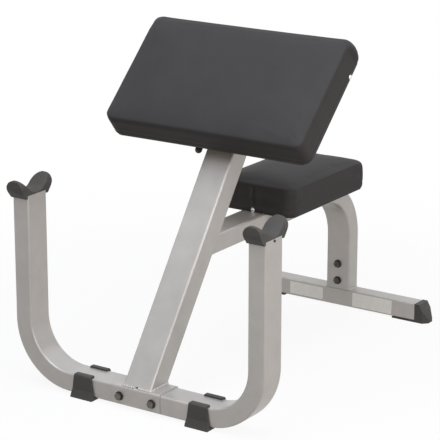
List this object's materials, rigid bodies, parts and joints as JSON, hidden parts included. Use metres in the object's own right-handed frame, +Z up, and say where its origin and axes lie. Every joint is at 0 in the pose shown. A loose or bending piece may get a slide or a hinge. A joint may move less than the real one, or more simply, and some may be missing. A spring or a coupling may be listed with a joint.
{
  "type": "preacher curl bench",
  "caption": "Free-standing preacher curl bench: sloped arm pad on a sliding post, padded seat on a bent beam, and a bent front frame with rubber bar catches.",
  "frame": {"origin": "on the floor, in the middle of the bench's length and width", "axes": "+Z up, +X to the right seen from the front, the front with the bar catches faces -Y, the lifter sits at +Y"},
  "size_m": [0.769, 1.075, 0.8941],
  "materials": {
    "frame_paint": "satin",
    "black_rubber": "matte",
    "dark_vinyl": "satin",
    "plywood": "matte",
    "dark_steel": "satin",
    "zinc_steel": "satin",
    "black_plastic": "satin"
  },
  "bodies": {
    "frame": {"front_frame": "frame_paint", "column_saddle": "frame_paint", "column": "frame_paint", "saddle_bolts": "dark_steel", "saddle_washers": "dark_steel", "saddle_nuts": "dark_steel", "left_bar_catch": "black_rubber", "right_bar_catch": "black_rubber", "left_clip_foot": "black_rubber", "right_clip_foot": "black_rubber", "catch_screws": "dark_steel", "seat_beam": "frame_paint", "rear_foot": "frame_paint", "leg_stub": "frame_paint", "leg_bolts": "dark_steel", "leg_washers": "dark_steel", "leg_nuts": "dark_steel", "left_end_cap": "black_rubber", "right_end_cap": "black_rubber", "post_guide": "black_plastic", "lock_nut": "frame_paint", "seat_board": "plywood", "seat_cushion": "dark_vinyl", "seat_bolts": "zinc_steel", "seat_washers": "zinc_steel", "seat_tee_nuts": "zinc_steel"},
    "arm_pad": {"pad_post": "frame_paint", "post_glide": "black_plastic", "pad_lower_bracket": "frame_paint", "pad_upper_bracket": "frame_paint", "arm_pad_board": "plywood", "arm_pad_cushion": "dark_vinyl", "lower_pad_bolts": "zinc_steel", "upper_pad_bolts": "zinc_steel", "arm_pad_washers": "zinc_steel", "arm_pad_tee_nuts": "zinc_steel"},
    "lock": {"lock_lever": "zinc_steel", "lock_grip": "black_plastic"}
  },
  "joints": [
    {"name": "arm_pad_height", "type": "slide", "parent": "frame", "child": "arm_pad", "axis": [0, 0.5736, 0.8192], "range_m": [0, 0.1]},
    {"name": "lock_turn", "type": "hinge", "parent": "frame", "child": "lock", "pos_m": [-0.0495, -0.08212, 0.61666], "axis": [1, 0, 0], "continuous": true}
  ]
}
